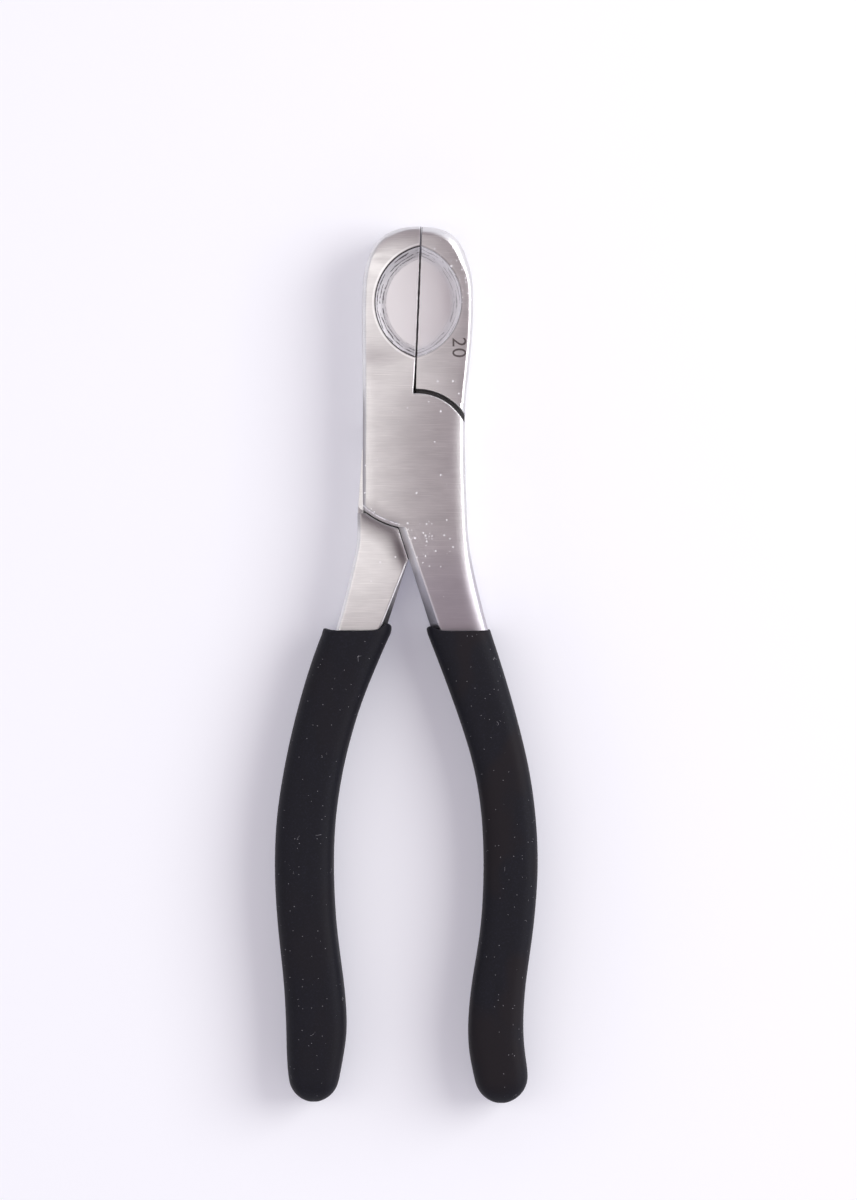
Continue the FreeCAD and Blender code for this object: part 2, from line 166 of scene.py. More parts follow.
# Rings of the lip, from the mouth in: how far outward and up, how much narrower and lower.
LIP_RINGS = ((0.0, 0.18, 0.25, 0.25), (0.0, 0.12, 1.2, 1.15), (0.6, -2.5, 1.6, 1.4))
# Lumps of the lip: height, middle as a share of the half width inward, and width.
LIP_LUMPS = ((1.0, 0.86, 0.17), (0.3, -0.97, 0.1))
LIP_SAG = 0.1
# The sleeves' slight unevenness. Without its seed it would differ in every run.
UNEVEN_SEED = 14
UNEVEN_SCALE = 0.09
UNEVEN_HEIGHT = 0.06

# Size marks: the digits, their place, and whether they are on the back.
MARKS = {
    "mark_20": ("20", (6.55, 20.0), False),
    "mark_13": ("13", (6.55, 16.3), True),
}
DIGIT_SHARE = 0.72
DIGIT_SPACING = 1.08
MARK_THICKNESS = 0.004 * MM

# Lamps, in metres and watts: place, size, power and tint.
LAMPS = {
    "left softbox": ((-0.25, 0.02, 0.69), (0.28, 0.6), 0.95, (1.0, 0.995, 0.975)),
    "right window": ((0.60, 0.18, 0.60), (0.52, 0.62), 4.4, (1.0, 0.99, 1.0)),
}
SKY_TOP = (-0.1, 0.0, 1.0)
SKY_STEP = (0.53, 0.85)
SKY_LOW_COLOUR = (0.93, 0.92, 1.0, 1.0)
SKY_HIGH_COLOUR = (0.215, 0.155, 0.18, 1.0)
VIEW_MIDDLE = (2.18, -27.8)
SENSOR_HEIGHT = 24.0


def at(x, y, z):
    """A place given in millimetres from the pivot, in the frame's metres."""
    return Vector((PIVOT.x + x * MM, PIVOT.y + y * MM, z * MM))


def colour(values, gain=1.0):
    """A colour for a socket, made brighter or darker by gain."""
    return (*(min(1.0, value * gain) for value in values), 1.0)


class Nodes:
    """A node tree, with short calls that add a node and join it up."""

    def __init__(self, owner):
        owner.use_nodes = True
        self.tree = owner.node_tree
        self.tree.nodes.clear()

    def node(self, kind, inputs=None, **settings):
        made = self.tree.nodes.new("ShaderNode" + kind)
        for key, value in settings.items():
            setattr(made, key, value)
        for key, value in (inputs or {}).items():
            if isinstance(value, bpy.types.NodeSocket):
                self.tree.links.new(value, made.inputs[key])
            else:
                made.inputs[key].default_value = value
        return made

    def math(self, operation, *values, clamp=False):
        made = self.node("Math", operation=operation, use_clamp=clamp,
                         inputs=dict(enumerate(values)))
        return made.outputs[0]

    def add(self, first, *others):
        for other in others:
            first = self.math("ADD", first, other)
        return first

    def times(self, first, *others):
        for other in others:
            first = self.math("MULTIPLY", first, other)
        return first

    def minus(self, first, second, clamp=False):
        return self.math("SUBTRACT", first, second, clamp=clamp)

    def abs(self, value):
        return self.math("ABSOLUTE", value)

    def larger(self, first, second):
        return self.math("MAXIMUM", first, second)

    def over(self, value, limit):
        """1 where the value is over the limit, and otherwise 0."""
        return self.math("GREATER_THAN", value, limit)

    def under(self, value, limit):
        """1 where the value is under the limit, and otherwise 0."""
        return self.math("LESS_THAN", value, limit)

    def hypot(self, first, second):
        return self.math("SQRT", self.add(self.times(first, first), self.times(second, second)))

    def mix(self, factor, first, second, kind="RGBA"):
        """Mix two colours, or two vectors where kind is VECTOR."""
        a, b, result = {"RGBA": (6, 7, 2), "VECTOR": (4, 5, 1)}[kind]
        made = self.node("Mix", data_type=kind, inputs={0: factor, a: first, b: second})
        return made.outputs[result]

    def layers(self, base, *coats):
        """Coats, each a share and a colour, laid over base one after another."""
        for share, tint in coats:
            base = self.mix(share, base, tint)
        return base

    def ramp(self, value, low, high, to_low=0.0, to_high=1.0):
        """A smooth step from to_low at low to to_high at high."""
        made = self.node("MapRange", interpolation_type="SMOOTHSTEP", inputs={
            "Value": value, "From Min": low, "From Max": high, "To Min": to_low, "To Max": to_high})
        return made.outputs["Result"]

    def fade(self, value, low, high, strength=1.0):
        """A smooth step from strength at low down to 0 at high."""
        return self.ramp(value, low, high, strength, 0.0)

    def curve(self, value, points):
        """A smooth curve through points of (value, result)."""
        low, high = points[0][0], points[-1][0]
        top = max(result for _, result in points)
        share = self.node("MapRange", inputs={"Value": value, "From Min": low, "From Max": high})
        made = self.node("FloatCurve", inputs={"Value": share.outputs["Result"]})
        line = made.mapping.curves[0]
        while len(line.points) < len(points):
            line.points.new(0.5, 0.5)
        for point, (place, result) in zip(line.points, points):
            point.location = ((place - low) / (high - low), result / top)
        made.mapping.update()
        return self.times(made.outputs[0], top)


class Shader(Nodes):
    """A material's nodes, with the surface's place in millimetres from the pivot."""

    def __init__(self, name):
        self.material = bpy.data.materials.new(name)
        super().__init__(self.material)
        self.metres = self.node("TexCoord").outputs["Object"]
        mapping = self.node("Mapping", inputs={
            "Vector": self.metres,
            "Location": (-PIVOT.x / MM, -PIVOT.y / MM, 0.0), "Scale": (1 / MM,) * 3})
        self.vector = mapping.outputs["Vector"]
        self.x, self.y, self.z = self.node("SeparateXYZ", inputs={0: self.vector}).outputs

    def distance(self, x=0.0, y=0.0):
        """Distance from a place on the face, or else from the pivot."""
        return self.hypot(self.minus(self.x, x), self.minus(self.y, y))

    def from_slant(self, foot, slope, side):
        """Distance to the left (side = -1) or right of a line through foot, leaning left."""
        line_x = self.math("MULTIPLY_ADD", self.y, -slope, foot[0] + foot[1] * slope)
        return self.times(self.minus(self.x, line_x), side)

    def noise(self, scale, detail=2.0, roughness=0.5, shift=(0.0, 0.0, 0.0), vector=None):
        """Noise whose grains are 1 / scale long on each axis, in millimetres or vector's unit."""
        mapping = self.node("Mapping", inputs={
            "Vector": vector or self.vector, "Scale": scale, "Location": shift})
        made = self.node("TexNoise", inputs={
            "Vector": mapping.outputs["Vector"], "Scale": 1.0, "Detail": detail,
            "Roughness": roughness})
        return made.outputs["Fac"]

    def cells(self, scale):
        """Distance to the middle of the nearest of scattered cells, and two chances of that cell."""
        made = self.node("TexVoronoi", feature="F1", inputs={
            "Vector": self.vector, "Scale": scale, "Randomness": 1.0})
        chances = self.node("SeparateColor", inputs={0: made.outputs["Color"]}).outputs
        return made.outputs["Distance"], chances[0], chances[1]

    def bump(self, height, distance, normal=None):
        """A bump whose height of 1 stands for distance millimetres."""
        inputs = {"Height": height, "Distance": distance * MM, "Strength": 1.0}
        if normal is not None:
            inputs["Normal"] = normal
        return self.node("Bump", inputs=inputs).outputs["Normal"]

    def finish(self, surface):
        output = self.node("OutputMaterial", inputs={"Surface": surface.outputs[0]})
        output.is_active_output = True
        return self.material


def pocket_arc(shader, cap, jaw):
    """Distance and angle from the middle of a pocket's arc on the left (jaw = -1) or right jaw."""
    dx = shader.minus(shader.x, SEAM_X - jaw * cap["offset"] * math.cos(SEAM_LEAN))
    dy = shader.minus(shader.y, POCKET_UP + jaw * cap["offset"] * math.sin(SEAM_LEAN))
    return shader.hypot(dx, dy), shader.math("ARCTAN2", dy, dx)


def pocket_mask(shader, cap, radius, depth):
    """1 inside a pocket, from just under the face to just past its wall and floor."""
    return shader.times(shader.over(depth, 0.04), shader.under(depth, cap["depth"] + 0.1),
                        shader.under(radius, cap["radius"] + 0.12))


def roll_off(shader, distance, reach, slope):
    """Height of a face that falls away near an edge, ever steeper towards it."""
    near = shader.minus(1.0, shader.math("DIVIDE", distance, reach), clamp=True)
    return shader.times(shader.math("POWER", near, 3.0), shader.times(slope, -reach / 3))


def side_distance(shader, side):
    """Distance to the steel's left (side = -1) or right outline, round the head too."""
    across = shader.minus(shader.x, HEAD_MIDDLE[0])
    if side < 0:
        across = shader.times(across, -1.0)
        half = LEFT_SIDE
    else:
        half = shader.curve(shader.y, RIGHT_SIDE)
    share_x = shader.larger(shader.math("DIVIDE", across, half), 0.0)
    above = shader.larger(shader.minus(shader.y, HEAD_MIDDLE[1]), 0.0)
    share = shader.hypot(share_x, shader.math("DIVIDE", above, HEAD_HALF_HEIGHT))
    return shader.times(shader.minus(1.0, share), half)


def shoulder_distance(shader):
    """Distance on the left shank's face to the shoulder arc and the other shank's side."""
    to_arc = shader.minus(shader.distance(), SHOULDER_R)
    return shader.math("SMOOTH_MIN", to_arc, shader.from_slant(CROTCH, CROTCH_SLOPE, -1), 3.0)


def worn_lines(shader, jaw):
    """Heights of the inner bevels' and the plate foot's upper edges, worn to hairlines."""
    if jaw > 0:
        inner = roll_off(shader, shader.from_slant(CROTCH, -LEFT_BEVEL_SLOPE, -1), 0.45, 0.6)
        return shader.times(inner, shader.fade(shader.y, -21.5, -20.5))
    inner = roll_off(shader, shader.from_slant(RIGHT_BEVEL_TOP, RIGHT_BEVEL_SLOPE, 1), 0.45, 0.75)
    inner = shader.times(inner, shader.under(shader.y, RIGHT_BEVEL_TOP[1]))
    foot = roll_off(shader, shader.minus(FOOT_BEVEL_R, shader.distance()), 0.35, 0.7)
    foot = shader.times(foot, shader.under(shader.x, RIGHT_BEVEL_TOP[0] - 1.0),
                        shader.under(shader.y, FOOT_TOP_Y))
    return shader.add(inner, foot)


def ground_face(shader, settings, jaw):
    """Heights in millimetres of a hand-ground face: its crown, and how it falls off at its edges."""
    y = shader.y
    if jaw < 0:
        aside = shader.minus(shader.curve(y, LEFT_CROWN), LEFT_CROWN_LIFT)
        left = roll_off(shader, side_distance(shader, -1), 2.6, 0.2)
        reach, slope = 4.0, shader.ramp(y, -26.0, -14.0, 0.3, 0.165)
    else:
        aside = shader.add(shader.ramp(y, -12.0, 6.0, 5.5, 1.5), shader.ramp(y, 31.0, 37.0, 0.0, 2.5))
        left = roll_off(shader, shoulder_distance(shader), 2.6, 0.26)
        reach, slope = 2.2, 0.1
    middle = shader.add(shader.x, aside)
    crown = shader.times(middle, middle, -0.5 / settings.crown_radius)
    right = roll_off(shader, side_distance(shader, 1), reach, slope)
    return shader.add(crown, shader.add(right, left, worn_lines(shader, jaw)))


def corner_painted_shade(shader, jaw):
    """Painted shade in the corner beside the other half: the shoulder, or the plate's foot; on the front
    half also along its left side.
    """
    y = shader.y
    if jaw > 0:
        shoulder = shader.times(shader.fade(shoulder_distance(shader), 1.4, 4.3, 0.66),
                                shader.ramp(y, -23.5, -19.5))
        crotch = shader.times(
            shader.fade(shader.from_slant(CROTCH, CROTCH_SLOPE, -1), 0.2, 2.8, 0.3),
            shader.fade(y, -18.5, -16.0))
        return shader.times(shader.add(shoulder, crotch), shader.fade(y, FOOT_TOP_Y - 2.0, FOOT_TOP_Y))
    to_foot = shader.minus(SHOULDER_R, shader.distance())
    foot = shader.times(
        shader.fade(to_foot, 0.9, 3.2, 0.45), shader.ramp(to_foot, 0.7, 0.9, 0.5, 1.0),
        shader.fade(shader.x, -5.0, 0.0), shader.fade(y, FOOT_TOP_Y, FOOT_TOP_Y + 5.0))
    from_left = side_distance(shader, -1)
    side = shader.add(shader.fade(from_left, 0.2, 2.4, 0.22), shader.fade(from_left, 0.3, 0.75, 0.55))
    return shader.larger(foot, shader.times(side, shader.fade(y, 6.0, 13.0)))


def tight_edge(shader, jaw, normal, level):
    """The normal, kept level until close to the head's rim, where the polish is crisp."""
    rim = side_distance(shader, jaw)
    if jaw > 0:
        band = shader.ramp(shader.y, 31.0, 35.5, 0.95, 2.0)
        share = shader.times(shader.ramp(rim, 0.25, band), shader.over(shader.y, 8.0))
    else:
        share = shader.times(shader.ramp(rim, 0.1, 0.6), shader.ramp(shader.y, 32.0, 36.0))
    share = shader.times(share, shader.over(level, 0.25), shader.over(shader.z, FACE_Z - 1.8),
                         shader.over(rim, 0.0))
    crisp = shader.mix(share, normal, (0.0, 0.0, 1.0), "VECTOR")
    return shader.node("VectorMath", operation="NORMALIZE", inputs={0: crisp}).outputs[0]


def dust_and_painted_highlight(shader, settings, jaw):
    """Pale polishing dust in scattered specks, and a broken painted highlight along the plate's foot."""
    near, chance, size = shader.cells(1 / settings.dust_spacing)
    often = shader.ramp(shader.distance(*DUSTY[jaw]), 1.5, 7.0, 0.55, 0.02)
    dust = shader.times(
        shader.under(near, shader.times(size, settings.dust_size / settings.dust_spacing)),
        shader.under(chance, often), shader.over(shader.z, FACE_Z - 0.6))
    # Painted highlight: a broken pale line along the plate's foot.
    if jaw < 0:
        from_line = shader.abs(shader.minus(shader.distance(), FOOT_BEVEL_R + 0.12))
        line = shader.times(
            shader.fade(from_line, 0.05, 0.17),
            shader.ramp(shader.noise((2.2, 2.2, 2.2)), 0.42, 0.56, 0.25, 1.0),
            shader.under(shader.y, FOOT_TOP_Y), shader.under(shader.x, RIGHT_BEVEL_TOP[0] - 0.8))
        dust = shader.larger(dust, line)
    return shader.times(dust, DUST_AND_HIGHLIGHT_STRENGTH)


def pocket_marks_and_painted_light(shader, settings, jaw):
    """Turned marks and painted light: shares of both pockets, of the larger one's corner and its turning
    marks, of painted shade at its rim and of a painted highlight just outside it.
    """
    strength = POCKET_MARKS_AND_LIGHT[jaw]
    radius, angle = pocket_arc(shader, POCKET_20, jaw)
    inside = pocket_mask(shader, POCKET_20, radius, shader.minus(FACE_Z, shader.z))
    small_radius, _ = pocket_arc(shader, POCKET_13, jaw)
    pocket = shader.larger(inside, pocket_mask(shader, POCKET_13, small_radius, shader.z))

    around = shader.node("CombineXYZ", inputs={
        0: shader.times(radius, 1.2), 1: shader.times(angle, 3.0), 2: 0.0})
    chatter = shader.noise((1.0, 1.0, 1.0), detail=3.0, roughness=0.6, vector=around.outputs[0])
    floor_r = POCKET_20["radius"] - POCKET_20["floor_round"]
    corner = shader.times(shader.ramp(radius, floor_r - 0.7, floor_r + 0.2), inside)
    turns = shader.math("SINE", shader.add(
        shader.times(radius, math.tau / settings.turning_step), shader.times(chatter, 9.0)))
    groove = shader.times(shader.ramp(turns, 0.5, 0.85), shader.ramp(chatter, 0.42, 0.5), corner,
                          strength["groove"])
    from_rim = shader.minus(radius, POCKET_20["radius"] + 0.03)
    from_painted_rim_highlight = shader.minus(from_rim, 0.42)
    return {
        "pocket": pocket,
        "corner": corner,
        "turned": shader.times(turns, corner),
        "groove": groove,
        # Painted shade on the wall just under the rim.
        "rim": shader.fade(shader.abs(from_rim), 0.10, 0.24, strength["rim"]),
        # Painted highlight in a ring just outside the rim.
        "painted_rim_highlight": shader.fade(shader.abs(from_painted_rim_highlight), 0.06, 0.22, strength["painted_rim_highlight"]),
    }


def seam_lines(shader):
    """Painted shade along the seam, and a painted highlight on the front half's edge beside it."""
    from_seam = shader.from_slant((SEAM_X, POCKET_UP), -math.tan(SEAM_LEAN), 1)
    wander = shader.times(shader.noise((0.7, 0.9, 0.7), detail=3.0), 0.16)
    above = shader.times(shader.over(shader.y, SEAM_FOOT_Y), shader.ramp(shader.z, 6.4, 6.8))
    dark = shader.fade(shader.minus(shader.abs(from_seam), wander), 0.05, 0.14, 0.96)
    bright = shader.fade(shader.abs(shader.add(from_seam, 0.27)), 0.04, 0.13, 0.75)
    return shader.times(dark, above), shader.times(bright, above)


def steel_normal(shader, settings, jaw, marks_and_light, grain, level):
    """The steel's worn edges, ground faces, dished pockets, brushing and turning."""
    worn = shader.times(shader.over(shader.distance(), RIVET_BLEND_R), settings.worn_edge)
    worn = shader.node("Bevel", samples=4, inputs={"Radius": worn}).outputs["Normal"]
    crisp = tight_edge(shader, jaw, worn, level)
    on_face = shader.bump(ground_face(shader, settings, jaw), 1.0, crisp)
    dish = shader.times(shader.x, shader.x, -0.5 / settings.pocket_crown)
    normal = shader.mix(marks_and_light["pocket"], on_face, shader.bump(dish, 1.0, worn), "VECTOR")
    brushing = shader.times(grain, shader.minus(1.0, marks_and_light["pocket"]))
    normal = shader.bump(brushing, settings.grain_depth, normal)
    return shader.bump(marks_and_light["turned"], settings.turning_depth, normal)


def brushed_steel(name, settings, jaw):
    """Steel brushed across the tool, with a turned finish in this jaw's pockets."""
    shader = Shader(name)
    y = shader.y
    long, fine = 1 / settings.grain_length, 1 / settings.grain_width
    grain = shader.noise((long, fine, fine), detail=3.0, roughness=0.6)
    hair = shader.noise((long * 1.8, fine * 3.1, fine * 3.1), detail=1.0, shift=(7.0, 3.0, 1.0))
    scratch = shader.noise((0.12, 4.5, 4.5), detail=1.0, shift=(1.0, 6.0, 2.0))
    cloud = shader.noise((0.16, 0.35, 0.35), shift=(3.5, 9.0, 4.0))
    tone = shader.add(shader.times(grain, 0.30), shader.times(hair, 0.30), shader.times(cloud, 0.40))

    normal = shader.node("NewGeometry").outputs["Normal"]
    tilt, _, upright = shader.node("SeparateXYZ", inputs={0: normal}).outputs
    level = shader.abs(upright)
    marks_and_light = pocket_marks_and_painted_light(shader, settings, jaw)
    upper = shader.ramp(shader.z, FACE_Z - 1.6, FACE_Z - 1.0)
    painted_rim_highlight, rim = shader.times(marks_and_light["painted_rim_highlight"], upper), shader.times(marks_and_light["rim"], upper)
    seam_dark, seam_painted_highlight = seam_lines(shader)
    from_lap = shader.abs(shader.minus(shader.z, FACE_Z / 2))
    lap = shader.times(shader.under(from_lap, LAP_HALF_GAP), shader.over(level, 0.7),
                       shader.over(shader.x, LAP_LEFT_X))

    coats = [
        (shader.ramp(scratch, 0.66, 0.72, 0.0, 0.5), SCRATCH_COLOUR),
        (marks_and_light["pocket"], colour(settings.pocket_colour)),
        # Painted shade over the pocket's rounded corner.
        (shader.times(marks_and_light["corner"], POCKET_MARKS_AND_LIGHT[jaw]["corner"]), CORNER_PAINTED_SHADE_COLOUR),
        (marks_and_light["groove"], GROOVE_COLOUR),
        # Painted shade beside the other half.
        (shader.times(corner_painted_shade(shader, jaw), upper), PAINTED_SHADE_COLOUR),
    ]
    pale = dust_and_painted_highlight(shader, settings, jaw)
    if jaw < 0:
        bevel = shader.times(shader.fade(tilt, -0.62, -0.5), shader.ramp(level, 0.4, 0.6))
        # Painted highlight on the right shank's inner bevel near the crotch, laid on with the dust.
        lit_bevel = shader.times(bevel, shader.ramp(y, -23.5, -20.0, 0.0, 0.6), shader.under(y, -13.5))
        pale = shader.larger(pale, lit_bevel)
        coats += [
            # Painted shade and lilac reflection, stronger lower down the right shank.
            (shader.fade(y, -27.0, -12.0, 0.5), SHANK_PAINTED_SHADE_COLOUR),
            # Painted highlight outside the pocket's rim and on the edge beside the seam.
            (shader.larger(painted_rim_highlight, seam_painted_highlight), PAINTED_HIGHLIGHT_COLOUR),
            # Painted shade at the pocket's rim and in the seam.
            (shader.larger(rim, seam_dark), SEAM_AND_RIM_PAINTED_SHADE),
            # Painted shade on the inner bevel, stronger lower down.
            (shader.times(bevel, shader.fade(y, -25.0, -19.0, 0.45)), BEVEL_PAINTED_SHADE_COLOUR),
        ]
    else:
        # Painted highlight outside the rim, and painted shade at the rim and in the seam.
        coats += [(painted_rim_highlight, PAINTED_HIGHLIGHT_COLOUR), (shader.larger(rim, seam_dark), SEAM_AND_RIM_PAINTED_SHADE)]
    # Painted shade on the faces inside the lap joint, then the dust and painted highlights.
    coats += [(shader.times(lap, 0.9), colour(settings.lap_painted_shade)), (pale, DUST_AND_HIGHLIGHT_COLOUR)]
    base = shader.mix(shader.ramp(tone, 0.36, 0.64), colour(settings.base_colour, 0.90),
                      colour(settings.base_colour, 1.03))
    rough = shader.add(settings.roughness - 0.05, shader.times(hair, 0.10),
                       shader.times(marks_and_light["pocket"], 0.08), shader.times(marks_and_light["corner"], 0.36))
    tangent = shader.node("Tangent", direction_type="RADIAL", axis="X")
    # The steel is less metallic under the dust and the painted highlights.
    surface = shader.node("BsdfPrincipled", inputs={
        "Base Color": shader.layers(base, *coats), "Metallic": shader.minus(1.0, pale),
        "Roughness": rough, "Anisotropic": settings.anisotropy, "Tangent": tangent.outputs[0],
        "Normal": steel_normal(shader, settings, jaw, marks_and_light, grain, level)})
    return shader.finish(surface)


def dipped_vinyl(name, settings):
    """Matt black dipped vinyl with a fine skin, a few dust specks and short pale fibres."""
    shader = Shader(name)
    skin = shader.noise((9.0, 9.0, 9.0))
    flow = shader.noise((0.5, 0.12, 0.5), shift=(2.0, 5.0, 8.0))
    bloom = shader.noise((3.2, 3.2, 3.2), detail=3.0, roughness=0.7)
    warm = shader.noise((0.09, 0.05, 0.09), shift=(4.0, 2.0, 6.0))
    near, chance, _ = shader.cells(1 / settings.dust_spacing)
    speck = shader.times(shader.under(near, settings.dust_size / settings.dust_spacing),
                         shader.over(chance, 0.45))
    patch, _, patch_chance = shader.cells(0.34)
    strand = shader.abs(shader.minus(shader.noise((0.75, 0.75, 0.75), detail=0.0), 0.5))
    fibre = shader.times(shader.under(strand, 0.006), shader.under(patch, 0.2),
                         shader.over(patch_chance, 0.75))
    base = shader.layers(
        shader.mix(flow, colour(settings.colour, 0.8), colour(settings.colour, 1.3)),
        (shader.ramp(bloom, 0.5, 0.72, 0.0, 0.6), colour(settings.colour, 3.0)),
        (shader.times(shader.ramp(warm, 0.48, 0.62), shader.ramp(shader.x, -14.0, 14.0, 0.25, 0.8)),
         colour([value * gain for value, gain in zip(settings.colour, VINYL_WARMTH)])),
        (shader.times(shader.larger(speck, fibre), settings.dust_strength), VINYL_DUST_COLOUR))
    surface = shader.node("BsdfPrincipled", inputs={
        "Base Color": base, "Metallic": 0.0, "Specular IOR Level": 0.2,
        "Roughness": shader.add(settings.roughness - 0.05, shader.times(flow, 0.10)),
        "Normal": shader.bump(skin, settings.skin_depth)})
    return shader.finish(surface)


def etched_mark(name, settings):
    """Dark oxide of a laser mark, a little uneven."""
    shader = Shader(name)
    burn = shader.noise((4.0, 9.0, 4.0), detail=3.0)
    base = shader.mix(shader.ramp(burn, 0.3, 0.7), colour(settings.colour), colour(settings.colour, 2.2))
    surface = shader.node("BsdfPrincipled", inputs={
        "Base Color": base, "Metallic": 0.35, "Roughness": 0.55,
        "Normal": shader.bump(burn, 0.01)})
    return shader.finish(surface)


def pale_table(name, settings):
    """Plain pale table top. Its own glow stops under the head, so the seam stays dark."""
    shader = Shader(name)
    drift = shader.noise((3.0, 3.0, 3.0), vector=shader.metres)
    base = shader.mix(drift, colour(settings.floor_colour, 0.985), colour(settings.floor_colour))
    surface = shader.node("BsdfPrincipled", inputs={
        "Base Color": base, "Roughness": 0.85, "Specular IOR Level": 0.1})
    glow = shader.node("Emission", inputs={"Color": colour(settings.shade_colour), "Strength": 1.0})
    rays = shader.node("LightPath").outputs
    seen = shader.larger(rays["Is Camera Ray"], rays["Is Glossy Ray"])
    seen = shader.larger(seen, rays["Is Transmission Ray"])
    from_head = shader.larger(shader.abs(shader.minus(shader.x, HEAD_MIDDLE[0])),
                              shader.times(shader.abs(shader.minus(shader.y, 13.0)), 0.33))
    seen = shader.times(seen, shader.ramp(from_head, 7.0, 8.5, 0.0, settings.floor_glow))
    both = shader.node("MixShader", inputs={0: seen, 1: surface.outputs[0], 2: glow.outputs[0]})
    return shader.finish(both)


def dress(node_name, material):
    """Give a CAD node its finish, in every slot that it has."""
    mesh = frame["nodes"][node_name].data
    if not mesh.materials:
        mesh.materials.append(material)
    for index in range(len(mesh.materials)):
        mesh.materials[index] = material


def linked(name, data):
    """A new object in the scene."""
    made = bpy.data.objects.new(name, data)
    bpy.context.scene.collection.objects.link(made)
    return made


def object_from(bm, name, material):
    """A new object from a bmesh, which is freed."""
    mesh = bpy.data.meshes.new(name)
    bm.to_mesh(mesh)
    bm.free()
    mesh.materials.append(material)
    return linked(name, mesh)


def squared_circle(angle, half_width, half_height):
    """A point of a circle that is squared up, as the section of a sleeve is."""
    c, s = math.cos(angle), math.sin(angle)
    return (math.copysign(abs(c) ** (2 / SLEEVE_SQUARENESS), c) * half_width,
            math.copysign(abs(s) ** (2 / SLEEVE_SQUARENESS), s) * half_height)


def sleeve_rings(sleeve, settings):
    """Rings from the mouth down to the round end: middle x, y, half width, half height."""
    half_height = settings.thickness / 2 / MM
    rings = [((left + right) / 2, y, (right - left) / 2, half_height) for y, left, right in sleeve["rows"]]
    x, y, radius = sleeve["end"]
    edge = settings.end_round / MM
    for turn in END_TURNS:
        down = radius * math.sin(math.radians(turn))
        left_over = edge - min(edge, radius - down)
        drop = edge - math.sqrt(edge ** 2 - left_over ** 2)
        rings.append((x, y - down, radius * math.cos(math.radians(turn)), half_height - drop))
    return rings


def move_ring(verts, ring):
    """Set a ring's vertices out on the squared section of one row."""
    x, y, half_width, half_height = ring
    for index, vert in enumerate(verts):
        across, up = squared_circle(math.tau * index / len(verts), half_width, half_height)
        vert.co = Vector((x + across, y, FACE_Z / 2 + up))


def ordered(edges, start_from):
    """Vertices of a closed ring, in order, starting nearest to a place and going up from there."""
    verts = {vert for edge in edges for vert in edge.verts}
    first = min(verts, key=lambda vert: (vert.co - start_from).length)
    chain, last = [first], None
    ring = set(edges)
    while True:
        steps = [edge for edge in chain[-1].link_edges if edge in ring and edge is not last]
        if not last:
            steps.sort(key=lambda edge: -edge.other_vert(chain[-1]).co.z)
        last = steps[0]
        following = last.other_vert(chain[-1])
        if following is first:
            return chain
        chain.append(following)


def extruded_ring(bm, edges, start_from):
    """Extrude a ring of edges: the new edges, and their vertices in order from a place."""
    made = bmesh.ops.extrude_edge_only(bm, edges=edges)["geom"]
    edges = [item for item in made if isinstance(item, bmesh.types.BMEdge)]
    return edges, ordered(edges, start_from)


class SteelSettings(bpy.types.PropertyGroup):
    base_colour: FloatVectorProperty(
        name="Steel colour", description="Colour of the brushed steel",
        default=(0.79, 0.785, 0.78), min=0.0, max=1.0, subtype="COLOR")
    pocket_colour: FloatVectorProperty(
        name="Pocket colour", description="Colour of the turned steel in the pockets",
        default=(0.975, 0.97, 0.985), min=0.0, max=1.0, subtype="COLOR")
    # Painted shade on the faces inside the lap joint.
    lap_painted_shade: FloatVectorProperty(
        name="Lap colour", description="Colour of the shaded faces inside the lap joint",
        default=(0.02, 0.019, 0.021), min=0.0, max=1.0, subtype="COLOR")
    roughness: FloatProperty(
        name="Roughness", description="Roughness of the brushed steel",
        default=0.33, min=0.05, max=1.0, subtype="FACTOR")
    anisotropy: FloatProperty(
        name="Anisotropy", description="How much the brushing spreads the highlights",
        default=0.6, min=0.0, max=1.0, subtype="FACTOR")
    grain_length: FloatProperty(
        name="Grain length", description="Length of a brushing mark in millimetres",
        default=5.0, min=0.5, max=30.0)
    grain_width: FloatProperty(
        name="Grain width", description="Width of a brushing mark in millimetres",
        default=0.22, min=0.02, max=2.0)
    grain_depth: FloatProperty(
        name="Grain depth", description="Depth of a brushing mark in millimetres",
        default=0.006, min=0.0, max=0.1)
    worn_edge: FloatProperty(
        name="Worn edge", description="How far the sharp edges are worn round",
        default=0.00014, min=0.0, max=0.001, unit="LENGTH")
    turning_step: FloatProperty(
        name="Turning step", description="Distance between turning marks in millimetres",
        default=0.52, min=0.05, max=5.0)
    turning_depth: FloatProperty(
        name="Turning depth", description="Depth of the turning marks in millimetres",
        default=0.012, min=0.0, max=0.2)
    crown_radius: FloatProperty(
        name="Crown radius", description="Radius of the faces' slight crown in millimetres",
        default=200.0, min=20.0, max=2000.0)
    pocket_crown: FloatProperty(
        name="Pocket crown", description="Radius of the pocket floors' crown in millimetres",
        default=115.0, min=20.0, max=2000.0)
    dust_spacing: FloatProperty(
        name="Dust spacing", description="Distance between dust specks in millimetres",
        default=0.55, min=0.2, max=20.0)
    dust_size: FloatProperty(
        name="Dust size", description="Radius of the largest dust specks in millimetres",
        default=0.25, min=0.01, max=1.0)


